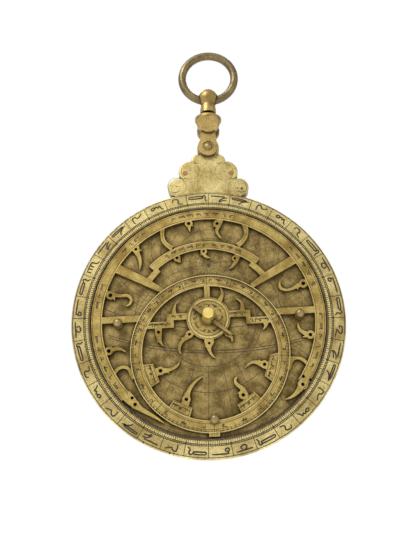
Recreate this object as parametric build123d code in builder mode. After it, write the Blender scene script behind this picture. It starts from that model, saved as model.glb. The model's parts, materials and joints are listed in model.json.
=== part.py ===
from build123d import *
from math import asin, cos, radians, sin, sqrt
import os

os.makedirs("parts", exist_ok=True)

# A planispheric astrolabe, hanging from its suspension ring.
# The origin is the inside top of the ring, where a finger or a hook carries it.
# Z is up, the front faces -Y, and y = 0 is the middle of the mater's thickness.

# Clearances
running_clearance = 0.05
riveted_clearance = 0.02
face_clearance = 0.2
loose_clearance = 0.3

# Suspension ring
wire_diameter = 5.1
ring_inner_radius = 14.5
seam_width = 0.4
seam_depth = 0.35

# Swivel eye, a bulb on a stem
bulb_radius = 6.45
bulb_rise = 1.75
collar_radius = 5.1
collar_height = 3.0
collar_drop = 9.35
stem_radius = 2.1
stem_head_radius = 2.8
stem_head_height = 1.4
washer_radius = 3.4
washer_thickness = 1.0

# Shackle, a cap with two arms
cap_radius = 8.45
cap_thickness = 1.9
boss_radius = 4.4
boss_height = 2.0
boss_gap = 1.4
arm_thickness = 2.1
arm_neck_width = 9.4
arm_neck_rise = 8.3
arm_eye_radius = 6.3
pad_width = 12.8
pad_top_width = 9.7
pad_rise = 13.3
pad_thickness = 4.1
pad_edge = 0.7
pivot_drop = 35.45

# Shackle rivet
rivet_radius = 2.1
rivet_head_radius = 2.65
rivet_head_height = 1.1
rivet_recess_radius = 3.5
rivet_recess_depth = 0.45

# Mater: a back disc and a limb, both carrying the throne's outline
limb_radius = 80.0
limb_width = 11.0
limb_thickness = 5.0
back_thickness = 2.5
limb_edge_radius = 0.9

# Throne outline: each pair of lobes rises above the one below, the first above the limb's edge
lower_lobe_x = 18.6
lower_lobe_rise = 3.3
lower_lobe_radius = 6.4
upper_lobe_x = 10.9
upper_lobe_rise = 10.5
upper_lobe_radius = 7.5
shoulder_x = 6.2
shoulder_rise = 7.8
shoulder_radius = 4.5
lug_rise = 8.9
lug_radius = 6.9
throne_rivet_x = 14.2
throne_rivet_drop = 1.0
throne_rivet_radius = 1.7

# Climate plates, keyed by a lug in a notch of the limb
plate_count = 4
plate_thickness = 0.75
plate_gap = 0.35
key_angle = -128.6
key_width = 2.2
key_length = 1.5

# Rete
rete_thickness = 1.6
rete_turn = 2.9
rete_gap = 0.7
band_right_angle = -34.0
band_left_angle = 221.5
ecliptic_bevel = 1.9
ecliptic_bevel_depth = 1.0

# Knobs on the rete
knob_radius = 2.65
knob_neck_radius = 1.35
knob_height = 6.7
knob_base_radius = 2.5
knob_base_height = 0.8
knob_shank_radius = 1.0

# Pole pin and its wedge
pin_radius = 3.6
pin_end_radius = 3.2
pin_reach = 13.0
pin_end_bevel = 0.4
pin_head_radius = 6.0
pin_head_height = 2.6
wedge_angle = -37.0
wedge_head_reach = 11.0
wedge_tip_reach = 16.2
wedge_width = 2.2
wedge_tip_width = 1.3
wedge_head_depth = 3.4
wedge_tip_depth = 1.2

# Alidade and its sight vanes, on the back
alidade_thickness = 2.0
alidade_angle = 52.0
alidade_hub_radius = 10.0
alidade_width = 11.0
alidade_reach = 77.0
alidade_shoulder = 57.0
vane_distance = 47.0
vane_width = 12.0
vane_height = 12.0
vane_thickness = 1.8
vane_tenon_width = 5.0
sight_hole_height = 7.4
sight_hole_radius = 1.1
pin_sight_height = 3.6
pin_sight_radius = 0.5

# Heights on the throne, up from the pole
lower_lobe_height = limb_radius + lower_lobe_rise
upper_lobe_height = lower_lobe_height + upper_lobe_rise
shoulder_height = upper_lobe_height + shoulder_rise
pivot_height = shoulder_height + lug_rise
throne_rivet_height = upper_lobe_height - throne_rivet_drop

# Places worked out from the sizes, down from the origin
wire_radius = wire_diameter / 2
ring_mean_radius = ring_inner_radius + wire_radius
ring_z = -ring_inner_radius
wire_low_z = ring_z - ring_mean_radius
bulb_z = wire_low_z + bulb_rise
collar_z = wire_low_z - collar_drop
boss_z = collar_z - boss_gap
cap_top_z = boss_z - boss_height
cap_bottom_z = cap_top_z - cap_thickness
pivot_z = wire_low_z - pivot_drop
pole_z = pivot_z - pivot_height

# Distances in front of the middle of the mater, negative behind it
front_face = (limb_thickness + back_thickness) / 2
back_face = -front_face
recess_floor = back_face + back_thickness
plate_top = recess_floor + plate_count * plate_thickness
rete_back = plate_top + face_clearance
rete_face = rete_back + rete_thickness
wedge_seat = rete_face + face_clearance
pin_end = front_face + pin_reach
alidade_front = back_face - face_clearance
alidade_back = alidade_front - alidade_thickness
pin_head_seat = alidade_back - face_clearance
arm_inner = front_face + face_clearance
arm_outer = arm_inner + arm_thickness
pad_outer = arm_inner + pad_thickness

# Radii worked out from the sizes
limb_inner_radius = limb_radius - limb_width
plate_radius = limb_inner_radius - plate_gap
rete_radius = limb_inner_radius - rete_gap

# The rete is a map of the sky, so its whole plan grows with its radius.
# Places on the map are in hundredths of that radius, x to the right and y up from the pole.
map_unit = rete_radius / 100
band_inner_radius = 90.9 * map_unit
ecliptic_drop = 28.7 * map_unit
ecliptic_radius = 67.6 * map_unit
ecliptic_inner_radius = 57.2 * map_unit
centre_radius = 18.6 * map_unit
upper_arc_radius = 69.8 * map_unit
upper_arc_inner_radius = 62.5 * map_unit
step_arc_radius = 64.0 * map_unit
step_arc_inner_radius = 59.1 * map_unit
bar_rise = 5.6


def facing(height, turn=0.0, depth=0.0):
    """Plane that faces the viewer, x to the right and y up, at a height and a distance in front of y = 0."""
    across = (cos(radians(turn)), 0, sin(radians(turn)))
    return Plane(origin=(0, -depth, height), x_dir=across, z_dir=(0, -1, 0))


def dome_point(base_radius, height):
    """Radius and height of a point half-way up a spherical cap, to draw its arc through."""
    sphere_radius = (base_radius**2 + height**2) / (2 * height)
    half_angle = asin(base_radius / sphere_radius) / 2
    return sphere_radius * sin(half_angle), sphere_radius * cos(half_angle) - sphere_radius + height


def mater_plane(depth):
    return facing(pole_z, 0.0, depth)


def rete_plane(depth):
    return facing(pole_z, rete_turn, depth)


# Suspension ring: round wire bent to a ring, its butt joint a fine groove at the top
with BuildPart() as suspension_ring:
    with BuildSketch(Plane.YZ):
        with Locations((0, ring_z + ring_mean_radius)):
            Circle(wire_radius)
    revolve(axis=Axis((0, 0, ring_z), (0, 1, 0)))
    with BuildSketch(Plane.XZ):
        with BuildLine():
            Polyline(
                (-seam_width / 2, wire_diameter + 0.1),
                (seam_width / 2, wire_diameter + 0.1),
                (0, wire_diameter - seam_depth),
                close=True,
            )
        make_face()
    revolve(axis=Axis((0, 0, wire_radius), (1, 0, 0)), mode=Mode.SUBTRACT)
suspension_ring.part.label = "suspension_ring"
export_step(suspension_ring.part, "parts/suspension_ring.step")

# Swivel eye: the bulb hangs on the wire, its mouths flare as the ring curves away,
# and its stem runs through the shackle's cap and is riveted over the washer
washer_top_z = cap_bottom_z - loose_clearance
washer_bottom_z = washer_top_z - washer_thickness
stem_end_z = washer_bottom_z - stem_head_height
collar_top_z = collar_z + collar_height
bulb_slope = asin(collar_radius / bulb_radius) * 0.85
eye_radius = wire_radius + loose_clearance
mouth_radius = ring_mean_radius - eye_radius

stem_dome_radius, stem_dome_rise = dome_point(stem_head_radius, stem_head_height)

with BuildPart() as swivel_eye:
    with BuildSketch(Plane.XZ):
        with BuildLine():
            bulb_foot = (bulb_radius * sin(bulb_slope), bulb_z - bulb_radius * cos(bulb_slope))
            ThreePointArc((0, bulb_z + bulb_radius), (bulb_radius, bulb_z), bulb_foot)
            Polyline(
                bulb_foot,
                (collar_radius, collar_top_z),
                (collar_radius, collar_z),
                (stem_radius, collar_z),
                (stem_radius, washer_bottom_z),
                (stem_head_radius, washer_bottom_z),
            )
            ThreePointArc(
                (stem_head_radius, washer_bottom_z),
                (stem_dome_radius, washer_bottom_z - stem_dome_rise),
                (0, stem_end_z),
            )
            Line((0, stem_end_z), (0, bulb_z + bulb_radius))
        make_face()
    revolve(axis=Axis.Z)
    with BuildSketch(Plane.XZ):
        with BuildLine():
            flare_end = bulb_radius + 1.0
            flare_rise = mouth_radius - sqrt(mouth_radius**2 - flare_end**2)
            ThreePointArc(
                (-flare_end, wire_low_z + eye_radius + flare_rise),
                (0, wire_low_z + eye_radius),
                (flare_end, wire_low_z + eye_radius + flare_rise),
            )
            Polyline(
                (flare_end, wire_low_z + eye_radius + flare_rise),
                (flare_end, wire_low_z),
                (-flare_end, wire_low_z),
                (-flare_end, wire_low_z + eye_radius + flare_rise),
            )
        make_face()
    revolve(axis=Axis((0, 0, wire_low_z), (1, 0, 0)), mode=Mode.SUBTRACT)
swivel_eye.part.label = "swivel_eye"
export_step(swivel_eye.part, "parts/swivel_eye.step")

with BuildPart() as swivel_washer:
    with BuildSketch(Plane.XY.offset(washer_bottom_z)):
        Circle(washer_radius)
        Circle(stem_radius + riveted_clearance, mode=Mode.SUBTRACT)
    extrude(amount=washer_thickness)
swivel_washer.part.label = "swivel_washer"
export_step(swivel_washer.part, "parts/swivel_washer.step")

# Shackle: a round cap, and in front and behind an arm with a drop-shaped pad and a round eye
arm_neck_height = pivot_z + arm_neck_rise
pad_height = pivot_z + pad_rise
pad_swell = pad_width / 2

with BuildSketch() as arm_outline:
    with Locations((0, pivot_z)):
        Circle(arm_eye_radius)
    with BuildLine():
        Polyline((-arm_eye_radius * 0.9, pivot_z + 1.5), (arm_eye_radius * 0.9, pivot_z + 1.5))
        Spline(
            (arm_eye_radius * 0.9, pivot_z + 1.5),
            (arm_neck_width / 2, arm_neck_height),
            (pad_top_width / 2, cap_bottom_z + 0.5),
        )
        Line((pad_top_width / 2, cap_bottom_z + 0.5), (-pad_top_width / 2, cap_bottom_z + 0.5))
        Spline(
            (-pad_top_width / 2, cap_bottom_z + 0.5),
            (-arm_neck_width / 2, arm_neck_height),
            (-arm_eye_radius * 0.9, pivot_z + 1.5),
        )
    make_face()

with BuildSketch() as pad_outline:
    with BuildLine():
        Spline(
            (-pad_top_width / 2, cap_bottom_z),
            (-pad_swell, pad_height),
            (0, pad_height - pad_swell * 0.62),
            (pad_swell, pad_height),
            (pad_top_width / 2, cap_bottom_z),
        )
        Line((pad_top_width / 2, cap_bottom_z), (-pad_top_width / 2, cap_bottom_z))
    make_face()

with BuildPart() as shackle:
    with BuildSketch(Plane.XY.offset(cap_bottom_z)):
        Circle(cap_radius)
    extrude(amount=cap_thickness)
    chamfer(shackle.faces().sort_by(Axis.Z)[-1].edges(), length=0.4)
    with BuildSketch(Plane.XY.offset(cap_top_z)):
        Circle(boss_radius)
    extrude(amount=boss_height, taper=14)
    for outward in (1, -1):
        with BuildSketch(Plane(origin=(0, -outward * arm_inner, 0), x_dir=(1, 0, 0), z_dir=(0, -1, 0))):
            add(pad_outline.sketch)
        extrude(amount=outward * pad_thickness)
    pad_rims = shackle.edges().filter_by(lambda edge: abs(abs(edge.center().Y) - pad_outer) < 0.01)
    chamfer(pad_rims.filter_by(lambda edge: edge.center().Z < cap_bottom_z - 0.1), length=pad_edge)
    for outward in (1, -1):
        with BuildSketch(Plane(origin=(0, -outward * arm_inner, 0), x_dir=(1, 0, 0), z_dir=(0, -1, 0))):
            add(arm_outline.sketch)
        extrude(amount=outward * arm_thickness)
        with BuildSketch(facing(pivot_z, 0, outward * (arm_outer - rivet_recess_depth))):
            Circle(rivet_recess_radius)
        extrude(amount=outward * rivet_recess_depth, mode=Mode.SUBTRACT)
    with BuildSketch(facing(pivot_z)):
        Circle(rivet_radius + riveted_clearance)
    extrude(amount=arm_outer, both=True, mode=Mode.SUBTRACT)
    with BuildSketch(Plane.XY.offset(cap_bottom_z)):
        Circle(stem_radius + running_clearance)
    extrude(amount=cap_thickness + boss_height, mode=Mode.SUBTRACT)
shackle.part.label = "shackle"
export_step(shackle.part, "parts/shackle.step")

# Shackle rivet: a plain shank with a low domed head on each side, seated in the arms' recesses
rivet_seat = arm_outer - rivet_recess_depth
rivet_top = rivet_seat + rivet_head_height
rivet_dome_radius, rivet_dome_rise = dome_point(rivet_head_radius, rivet_head_height)

with BuildPart() as shackle_rivet:
    with BuildSketch(Plane.YZ):
        with BuildLine():
            Line((-rivet_top, pivot_z), (rivet_top, pivot_z))
            ThreePointArc(
                (rivet_top, pivot_z),
                (rivet_seat + rivet_dome_rise, pivot_z + rivet_dome_radius),
                (rivet_seat, pivot_z + rivet_head_radius),
            )
            Polyline(
                (rivet_seat, pivot_z + rivet_head_radius),
                (rivet_seat, pivot_z + rivet_radius),
                (-rivet_seat, pivot_z + rivet_radius),
                (-rivet_seat, pivot_z + rivet_head_radius),
            )
            ThreePointArc(
                (-rivet_seat, pivot_z + rivet_head_radius),
                (-rivet_seat - rivet_dome_rise, pivot_z + rivet_dome_radius),
                (-rivet_top, pivot_z),
            )
        make_face()
    revolve(axis=Axis((0, 0, pivot_z), (0, 1, 0)))
shackle_rivet.part.label = "shackle_rivet"
export_step(shackle_rivet.part, "parts/shackle_rivet.step")

# Mater: the disc's circle and the throne's lobes make one outline for both layers
with BuildSketch() as mater_outline:
    Circle(limb_radius)
    with BuildLine():
        Polyline(
            (lower_lobe_x, lower_lobe_height - lower_lobe_radius),
            (lower_lobe_x, lower_lobe_height),
            (upper_lobe_x + upper_lobe_radius * 0.6, upper_lobe_height - upper_lobe_radius * 0.6),
            (upper_lobe_x, upper_lobe_height),
            (shoulder_x, shoulder_height),
            (0, pivot_height),
            (-shoulder_x, shoulder_height),
            (-upper_lobe_x, upper_lobe_height),
            (-upper_lobe_x - upper_lobe_radius * 0.6, upper_lobe_height - upper_lobe_radius * 0.6),
            (-lower_lobe_x, lower_lobe_height),
            (-lower_lobe_x, lower_lobe_height - lower_lobe_radius),
            close=True,
        )
    make_face()
    for side in (1, -1):
        with Locations((side * lower_lobe_x, lower_lobe_height)):
            Circle(lower_lobe_radius)
        with Locations((side * upper_lobe_x, upper_lobe_height)):
            Circle(upper_lobe_radius)
        with Locations((side * shoulder_x, shoulder_height)):
            Circle(shoulder_radius)
    with Locations((0, pivot_height)):
        Circle(lug_radius)
    with Locations((0, pivot_height)):
        Circle(rivet_radius + running_clearance, mode=Mode.SUBTRACT)
    with Locations((throne_rivet_x, throne_rivet_height), (-throne_rivet_x, throne_rivet_height)):
        Circle(throne_rivet_radius + riveted_clearance, mode=Mode.SUBTRACT)

with BuildPart() as mater_back:
    with BuildSketch(mater_plane(back_face)):
        add(mater_outline.sketch)
        Circle(pin_radius + running_clearance, mode=Mode.SUBTRACT)
    extrude(amount=back_thickness)
    fillet(mater_back.faces().sort_by(Axis.Y)[-1].outer_wire().edges(), radius=limb_edge_radius)
mater_back.part.label = "mater_back"
export_step(mater_back.part, "parts/mater_back.step")

key_outline = Location((0, 0, 0), (0, 0, key_angle))

with BuildPart() as limb:
    with BuildSketch(mater_plane(recess_floor)):
        add(mater_outline.sketch)
        Circle(limb_inner_radius, mode=Mode.SUBTRACT)
        with Locations(key_outline):
            with Locations((limb_inner_radius, 0)):
                Rectangle(
                    2 * (key_length + running_clearance),
                    key_width + 2 * running_clearance,
                    mode=Mode.SUBTRACT,
                )
    extrude(amount=limb_thickness)
    fillet(limb.faces().sort_by(Axis.Y)[0].outer_wire().edges(), radius=limb_edge_radius)
limb.part.label = "limb"
export_step(limb.part, "parts/limb.step")

# Throne rivets: two copper shanks, hammered flush on both faces
with BuildPart() as throne_rivets:
    with BuildSketch(mater_plane(back_face)):
        with Locations((throne_rivet_x, throne_rivet_height), (-throne_rivet_x, throne_rivet_height)):
            Circle(throne_rivet_radius)
    extrude(amount=back_thickness + limb_thickness)
throne_rivets.part.label = "throne_rivets"
export_step(throne_rivets.part, "parts/throne_rivets.step")

# Climate plates: thin discs stacked in the recess, each held from turning by its lug
for number in range(plate_count):
    with BuildPart() as climate_plate:
        with BuildSketch(mater_plane(recess_floor + number * plate_thickness)):
            Circle(plate_radius)
            with Locations(key_outline):
                with Locations((limb_inner_radius, 0)):
                    Rectangle(2 * (key_length - running_clearance), key_width)
            Circle(pin_radius + loose_clearance, mode=Mode.SUBTRACT)
        extrude(amount=plate_thickness)
    climate_plate.part.label = f"climate_plate_{number + 1}"
    export_step(climate_plate.part, f"parts/climate_plate_{number + 1}.step")


def straight(*corners):
    """Straight-sided outline."""
    with BuildSketch(mode=Mode.PRIVATE) as outline:
        with BuildLine():
            Polyline(*corners, close=True)
        make_face()
    return outline.sketch


# Rete: every blade and place below is in map units, with the rete upright
def on_map(*places):
    """Places on the star map, turned into millimetres from the pole."""
    return [Vector(x, y) * map_unit for x, y in places]


def blade(*stations):
    """Tapering curved blade through stations x, y, width, with a spline along each edge."""
    middle = on_map(*[(x, y) for x, y, width in stations])
    one_side = []
    other_side = []
    for number, (x, y, width) in enumerate(stations):
        before = middle[max(number - 1, 0)]
        after = middle[min(number + 1, len(middle) - 1)]
        sideways = (after - before).normalized().rotate(Axis.Z, 90) * (width * map_unit / 2)
        one_side.append(middle[number] + sideways)
        other_side.append(middle[number] - sideways)
    with BuildSketch(mode=Mode.PRIVATE) as outline:
        with BuildLine():
            Spline(*one_side)
            Line(one_side[-1], other_side[-1])
            Spline(*other_side)
            Line(other_side[0], one_side[0])
        make_face()
    return outline.sketch


def tooth(x, y, tip_x, tip_y, width=2.3):
    """Small pointed spur from a base point to a tip."""
    base, tip = on_map((x, y), (tip_x, tip_y))
    sideways = (tip - base).normalized().rotate(Axis.Z, 90) * (width * map_unit / 2)
    return straight(base + sideways, tip, base - sideways)


def arc_band(inner, outer, start, end):
    """Piece of a flat ring about the pole between two angles."""
    with BuildSketch(mode=Mode.PRIVATE) as outline:
        with BuildLine():
            CenterArc((0, 0), outer, start, end - start)
            CenterArc((0, 0), inner, start, end - start)
            for angle in (start, end):
                Line(Vector(inner, 0).rotate(Axis.Z, angle), Vector(outer, 0).rotate(Axis.Z, angle))
        make_face()
    return outline.sketch


# Each pointer: its eye's x, y, collar radius and hole radius, then its blade, then its teeth
pointers = [
    ((-13.0, 87.6, 3.4, 1.6), [(-12.9, 85.8, 3.8), (-12.7, 83.5, 2.5), (-12.4, 80.1, 0.9)],
     [(-11.1, 86.4, -9.1, 84.9)]),
    ((12.2, 86.2, 3.4, 1.5), [(16.0, 92.2, 5.0), (14.5, 87.0, 4.4), (12.6, 82.4, 3.2), (11.6, 79.4, 2.6),
                              (12.4, 76.0, 2.0), (15.1, 72.0, 0.7)], [(10.5, 84.3, 8.6, 83.0)]),
    ((-60.5, 65.9, 3.1, 1.4), [(-60.9, 65.3, 5.3), (-58.6, 60.6, 3.7), (-57.1, 55.6, 2.8),
                                (-57.0, 51.2, 2.0), (-57.5, 46.9, 1.0)],
     [(-58.0, 64.7, -54.8, 64.7), (-58.9, 66.8, -57.5, 69.4)]),
    ((-83.3, 24.9, 3.8, 1.7), [(-83.5, 24.9, 4.7), (-78.3, 24.5, 3.1), (-73.2, 24.0, 2.6),
                                (-68.8, 23.9, 2.6), (-65.9, 21.4, 2.5), (-65.7, 18.2, 2.0),
                                (-67.3, 15.8, 1.5), (-69.8, 14.8, 0.7)],
     [(-80.5, 22.7, -79.5, 19.6), (-85.2, 26.9, -86.2, 30.2)]),
    ((-24.7, 55.8, 3.1, 1.4), [(-24.3, 56.2, 5.3), (-23.4, 53.9, 4.1), (-21.8, 51.5, 0.7)], []),
    ((-1.0, 60.6, 2.9, 1.2), [(-1.8, 59.4, 3.5), (-0.4, 57.0, 2.6), (1.8, 55.2, 1.8), (4.5, 54.5, 0.6)],
     [(-2.3, 58.9, -4.1, 57.1)]),
    ((25.9, 52.6, 2.6, 1.2), [(28.4, 56.5, 5.0), (27.2, 51.5, 4.1), (25.0, 47.4, 2.8),
                               (22.7, 44.8, 1.6), (20.1, 43.5, 0.6)], []),
    ((83.6, 26.5, 3.8, 1.7), [(83.5, 26.1, 5.0), (78.5, 24.7, 3.5), (74.1, 22.5, 2.3), (70.0, 21.5, 2.0),
                               (65.9, 22.0, 2.2), (63.3, 24.2, 2.5), (63.0, 26.6, 1.8), (63.7, 29.6, 0.6)],
     [(77.9, 23.7, 78.6, 20.9)]),
    ((85.4, -18.9, 3.7, 1.6), [(84.2, -18.6, 5.0), (80.4, -17.1, 3.4), (77.3, -14.5, 2.5),
                               (76.0, -11.7, 1.8), (76.0, -8.3, 0.6)], [(81.8, -19.9, 78.3, -20.9)]),
    ((-85.2, -23.9, 3.5, 1.7), [(-84.9, -23.4, 5.0), (-81.0, -22.7, 3.1), (-77.3, -22.4, 2.5),
                                 (-74.2, -23.3, 1.9), (-71.0, -25.6, 0.7)], [(-83.7, -21.4, -82.9, -19.3)]),
    ((-42.9, -10.0, 2.8, 1.4), [(-42.8, -5.3, 5.3), (-42.8, -12.6, 5.0), (-42.2, -16.1, 3.4),
                                (-41.0, -19.3, 2.0), (-38.5, -22.4, 0.6)], [(-43.0, -16.1, -43.9, -19.6)]),
    ((-16.7, -13.2, 3.2, 1.3), [(-14.6, -11.1, 4.7), (-18.4, -15.2, 4.4), (-22.3, -18.0, 3.1),
                               (-25.2, -22.3, 2.5), (-25.8, -26.1, 2.0), (-24.2, -30.0, 0.7)],
     [(-21.1, -16.7, -24.7, -16.0)]),
    ((-0.4, -21.7, 2.9, 1.2), [(-0.4, -18.2, 7.9), (-0.6, -23.1, 6.4), (-0.7, -26.6, 3.2),
                               (0.6, -30.6, 2.0), (4.2, -34.6, 0.6)], [(-2.0, -23.4, -4.5, -24.7)]),
    ((15.8, -14.2, 2.8, 1.2), [(14.1, -11.7, 4.4), (16.8, -15.5, 3.8), (18.9, -18.4, 2.3),
                               (18.6, -21.8, 0.7)], [(17.4, -14.9, 20.8, -14.9)]),
    ((-42.2, -43.0, 3.5, 1.6), [(-46.1, -44.2, 6.7), (-39.8, -43.0, 4.7), (-35.4, -42.6, 2.9),
                                (-31.3, -41.3, 2.3), (-28.1, -39.4, 1.9), (-26.1, -36.3, 0.7)],
     [(-36.6, -43.6, -34.6, -45.8)]),
    ((-21.7, -67.8, 3.5, 1.5), [(-23.7, -73.8, 6.4), (-21.4, -66.5, 5.3), (-19.9, -62.1, 3.5),
                                (-17.3, -57.7, 2.6), (-13.5, -53.6, 2.0), (-7.6, -49.6, 0.6)],
     [(-21.1, -64.1, -23.3, -62.2)]),
    ((25.3, -66.6, 3.5, 1.5), [(26.8, -69.7, 6.4), (26.2, -64.4, 4.7), (24.0, -60.5, 3.4),
                                (20.8, -57.7, 2.6), (19.5, -55.1, 2.3), (21.1, -51.4, 1.3)],
     [(23.7, -64.3, 20.1, -65.2)]),
    ((44.8, -42.2, 3.4, 1.5), [(48.6, -43.3, 6.4), (43.0, -42.0, 5.0), (39.4, -40.4, 3.7),
                                (35.1, -39.8, 2.2), (31.5, -41.4, 1.8), (28.1, -44.5, 0.6)],
     [(41.0, -40.4, 40.4, -37.6)]),
    ((75.1, -60.5, 4.2, 1.5), [(80.5, -51.5, 7.9), (75.5, -59.7, 7.0), (71.4, -65.0, 4.4),
                               (66.5, -69.3, 2.5), (59.7, -71.9, 0.7)], []),
    ((-64.0, -69.7, 3.5, 1.5), [(-71.7, -61.2, 8.5), (-64.9, -68.8, 6.7), (-60.0, -73.2, 4.4),
                                (-53.3, -77.5, 3.1), (-46.6, -81.7, 2.0), (-40.6, -86.1, 0.7)], []),
]

# Plain flames and hooks without an eye, each a blade
flames = [
    [(-29.1, 4.1, 5.0), (-29.0, 7.9, 3.2), (-28.3, 11.4, 1.9), (-26.5, 15.4, 0.6)],
    [(29.3, 5.0, 5.0), (29.6, 8.8, 2.8), (29.0, 12.3, 2.0), (27.2, 14.6, 1.3), (24.5, 15.8, 0.6)],
    [(48.3, -5.9, 5.3), (48.3, -8.8, 2.8), (45.8, -12.3, 0.6)],
    [(9.7, 14.3, 4.7), (12.6, 19.3, 2.8), (13.0, 23.3, 2.0), (11.3, 26.8, 0.6)],
]

# Small round nicks beside the necks of the two pointers at the outer band's ends
nick_radius = 1.4 * map_unit
nicks = [(76.1, -53.9), (81.8, -57.0), (-66.3, -64.3)]

# Knob places, each on a round boss at the rete's edge
knob_places = {"left": (-76.7, -1.5), "right": (77.5, -1.6), "bottom": (0.7, -85.7)}

with BuildSketch() as rete_outline:
    add(arc_band(band_inner_radius, rete_radius, band_right_angle, band_left_angle))
    add(arc_band(upper_arc_inner_radius, upper_arc_radius, 46.9, 135.0))
    for start, end in ((36.5, 50.4), (131.8, 143.5)):
        add(arc_band(step_arc_inner_radius, step_arc_radius, start, end))
    # Straight bars from the outer band to the ecliptic, tapering inwards
    for side in (1, -1):
        add(straight(*on_map(
            (side * 81.4, 46.4), (side * 77.0, 53.3), (side * 51.7, 38.7),
            (side * 37.5, 28.4), (side * 40.1, 25.2),
        )))
    # Curved struts between the outer band and the upper arc
    add(blade((-35.1, 89.0, 4.7), (-36.5, 83.5, 3.8), (-36.9, 77.6, 3.4),
          (-35.6, 72.0, 3.5), (-32.7, 68.2, 3.8), (-28.3, 65.0, 5.0)))
    add(blade((34.6, 89.0, 5.0), (36.6, 83.5, 4.2), (37.6, 78.0, 4.0),
          (36.5, 72.6, 3.8), (33.5, 68.2, 3.8), (29.0, 64.7, 5.0)))
    # Arched struts beside the foot of the ecliptic
    add(blade((-82.9, -46.3, 3.5), (-80.2, -42.3, 2.8), (-77.5, -39.4, 2.6), (-73.5, -38.2, 2.6),
          (-69.8, -39.2, 2.6), (-67.3, -42.8, 2.9), (-64.4, -48.3, 3.2)))
    add(blade((83.5, -48.3, 3.5), (80.4, -43.6, 2.8), (77.0, -39.8, 2.5), (72.5, -38.2, 2.3),
          (68.7, -39.4, 2.6), (66.2, -43.0, 3.2), (63.8, -47.7, 3.2)))
    add(straight(*on_map((63.7, -36.5), (72.0, -37.0), (67.6, -41.3), (63.7, -43.2))))
    # The counterchanged bar: it steps from one side of the middle line to the other
    for left, right, low in (
        (-94.0, -58.6, 0.0), (58.6, 94.0, 0.0),
        (-54.9, -29.6, -6.6), (32.2, 55.1, -6.6),
        (-35.6, -16.1, 0.0), (16.1, 36.0, 0.0),
    ):
        add(straight(*on_map((left, low), (right, low), (right, low + bar_rise), (left, low + bar_rise))))
    for left, right in ((-35.6, -29.6), (32.2, 36.0)):
        add(straight(*on_map((left, -1.4), (right, -1.4), (right, 0.4), (left, 0.4))))
    # Centre disc, upright strut, and the index at the ecliptic's foot
    Circle(centre_radius)
    add(straight(*on_map((-2.4, 16.0), (2.4, 16.0), (2.4, 31.0), (-2.4, 31.0))))
    add(straight(*on_map((-4.4, -99.0), (4.4, -99.0), (4.4, -93.0), (-4.4, -93.0))))
    # Name plates inside the ecliptic, where four pointers stand
    add(straight(*on_map((-56.8, -37.2), (-48.3, -36.9), (-43.3, -52.0), (-50.7, -56.5))))
    add(straight(*on_map((-36.6, -73.8), (-32.2, -67.9), (-17.0, -75.0), (-19.6, -82.6))))
    add(straight(*on_map((20.2, -74.4), (34.6, -64.4), (40.4, -70.6), (23.4, -81.7))))
    add(straight(*on_map((50.2, -34.0), (58.0, -32.8), (51.5, -57.7), (44.2, -51.8))))
    for eye, stations, teeth in pointers:
        add(blade(*stations))
        with Locations(on_map(eye[:2])):
            Circle(eye[2] * map_unit)
        for spur in teeth:
            add(tooth(*spur))
    for stations in flames:
        add(blade(*stations))
    with Locations(on_map(*knob_places.values())):
        Circle(knob_base_radius)

with BuildPart() as rete:
    with BuildSketch(rete_plane(rete_back)):
        with Locations((0, -ecliptic_drop)):
            Circle(ecliptic_radius)
    extrude(amount=rete_thickness)
    chamfer(
        rete.faces().sort_by(Axis.Y)[0].edges(),
        length=ecliptic_bevel_depth,
        length2=ecliptic_bevel,
        reference=rete.faces().filter_by(GeomType.CYLINDER)[0],
    )
    with BuildSketch(rete_plane(rete_back)):
        with Locations((0, -ecliptic_drop)):
            Circle(ecliptic_inner_radius)
    extrude(amount=rete_thickness, mode=Mode.SUBTRACT)
    with BuildSketch(rete_plane(rete_back)):
        add(rete_outline.sketch)
    extrude(amount=rete_thickness)
    with BuildSketch(rete_plane(rete_back)):
        Circle(pin_radius + running_clearance)
        for eye, stations, teeth in pointers:
            with Locations(on_map(eye[:2])):
                Circle(eye[3] * map_unit)
        with Locations(on_map(*nicks)):
            Circle(nick_radius)
        with Locations(on_map(*knob_places.values())):
            Circle(knob_shank_radius + riveted_clearance)
    extrude(amount=rete_thickness, mode=Mode.SUBTRACT)
rete.part.label = "rete"
export_step(rete.part, "parts/rete.step")

# Knobs: a ball on a waisted neck, its shank riveted through the rete
for name, place in knob_places.items():
    with BuildPart() as knob:
        spot = Plane(rete_plane(rete_face).from_local_coords(on_map(place)[0]),
                     x_dir=(1, 0, 0), z_dir=(0, -1, 0))
        ball_height = knob_height - knob_radius
        with BuildSketch(Plane(spot.origin, x_dir=(1, 0, 0), z_dir=(0, 0, 1))):
            with BuildLine():
                Line((0, rete_thickness), (0, -knob_height))
                ThreePointArc((0, -knob_height), (knob_radius, -ball_height),
                              (knob_neck_radius, -ball_height + sqrt(knob_radius**2 - knob_neck_radius**2)))
                Polyline(
                    (knob_neck_radius, -ball_height + sqrt(knob_radius**2 - knob_neck_radius**2)),
                    (knob_neck_radius, -knob_base_height),
                    (knob_base_radius - 0.4, -knob_base_height),
                    (knob_base_radius, 0),
                    (knob_shank_radius, 0),
                    (knob_shank_radius, rete_thickness),
                    (0, rete_thickness),
                )
            make_face()
        revolve(axis=Axis(spot.origin, (0, 1, 0)))
    knob.part.label = f"rete_knob_{name}"
    export_step(knob.part, f"parts/rete_knob_{name}.step")

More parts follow.
